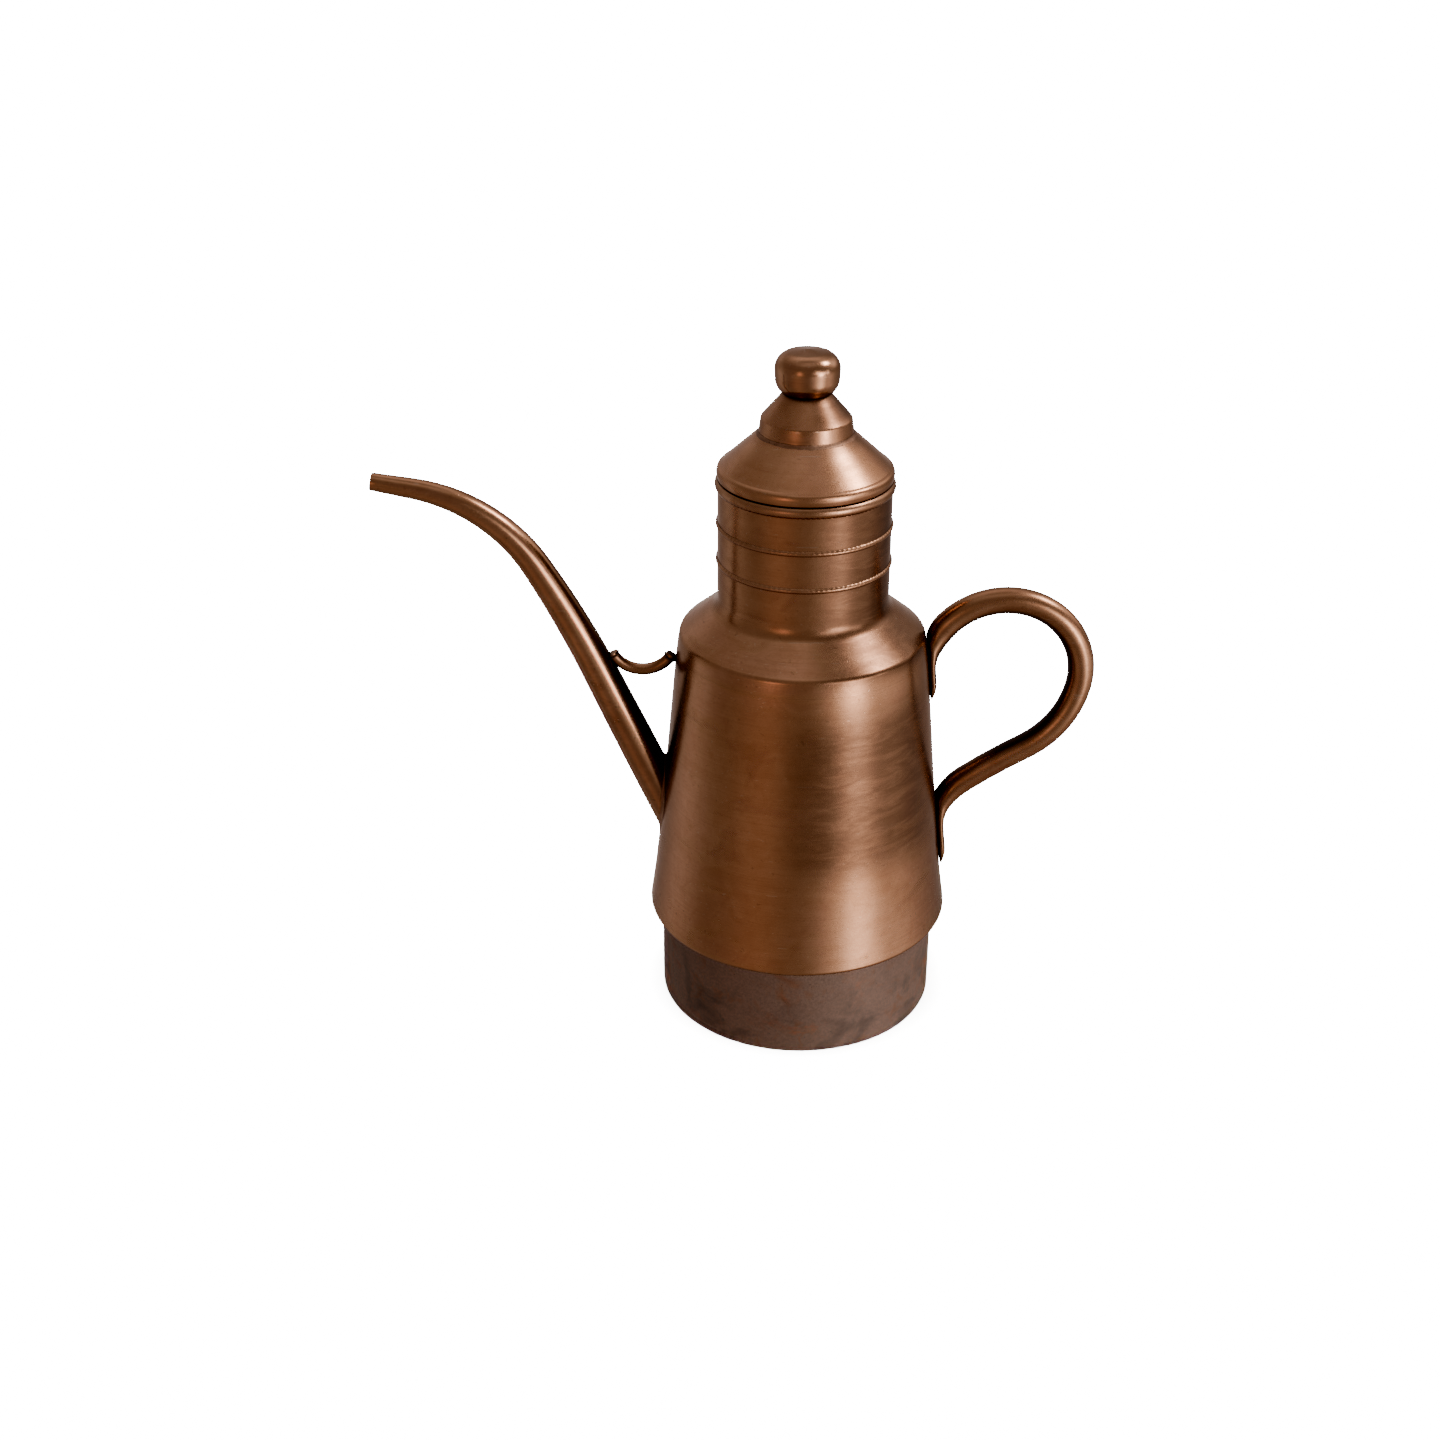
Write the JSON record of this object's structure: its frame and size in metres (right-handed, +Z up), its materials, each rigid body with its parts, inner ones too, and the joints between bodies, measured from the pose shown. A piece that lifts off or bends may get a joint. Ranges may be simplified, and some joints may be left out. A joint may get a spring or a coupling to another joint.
{
  "type": "coffee pot",
  "caption": "Copper coffee pot with a tapered body on a dark foot, a long bent pipe spout with a brace, a loop handle and a lift-off lid with a knob.",
  "frame": {"origin": "centre of the foot's underside, on the surface that the pot stands on", "axes": "+Z up along the pot's axis, +X towards the handle, -X towards the spout, Y across the pot"},
  "size_m": [0.2998, 0.1302, 0.2928],
  "materials": {
    "aged_copper": "satin, hand-rubbed, fine scratches",
    "foot_patina": "fire-darkened, blotchy and matte",
    "trim_copper": "satin with bright worn edges and dark solder lines",
    "handle_copper": "satin, darkened by hands",
    "knob_copper": "satin, turned",
    "inner_copper": "dull, uncleaned"
  },
  "bodies": {
    "pot": {"floor_pan": "foot_patina", "foot_ring": "foot_patina", "body_wall": "aged_copper", "shoulder_neck": "aged_copper", "neck_band_lower": "trim_copper", "neck_band_upper": "trim_copper", "rim_band": "trim_copper", "spout_tube": "aged_copper", "spout_strainer": "inner_copper", "spout_brace": "trim_copper", "handle": "handle_copper"},
    "lid": {"lid_cone": "aged_copper", "lid_collar": "inner_copper", "lid_cap": "aged_copper", "knob": "knob_copper", "knob_stem": "inner_copper", "knob_washer": "inner_copper"}
  },
  "joints": [
    {"name": "lid_lift", "type": "slide", "parent": "pot", "child": "lid", "axis": [0, 0, 1], "range_m": [0, 0.06]}
  ]
}
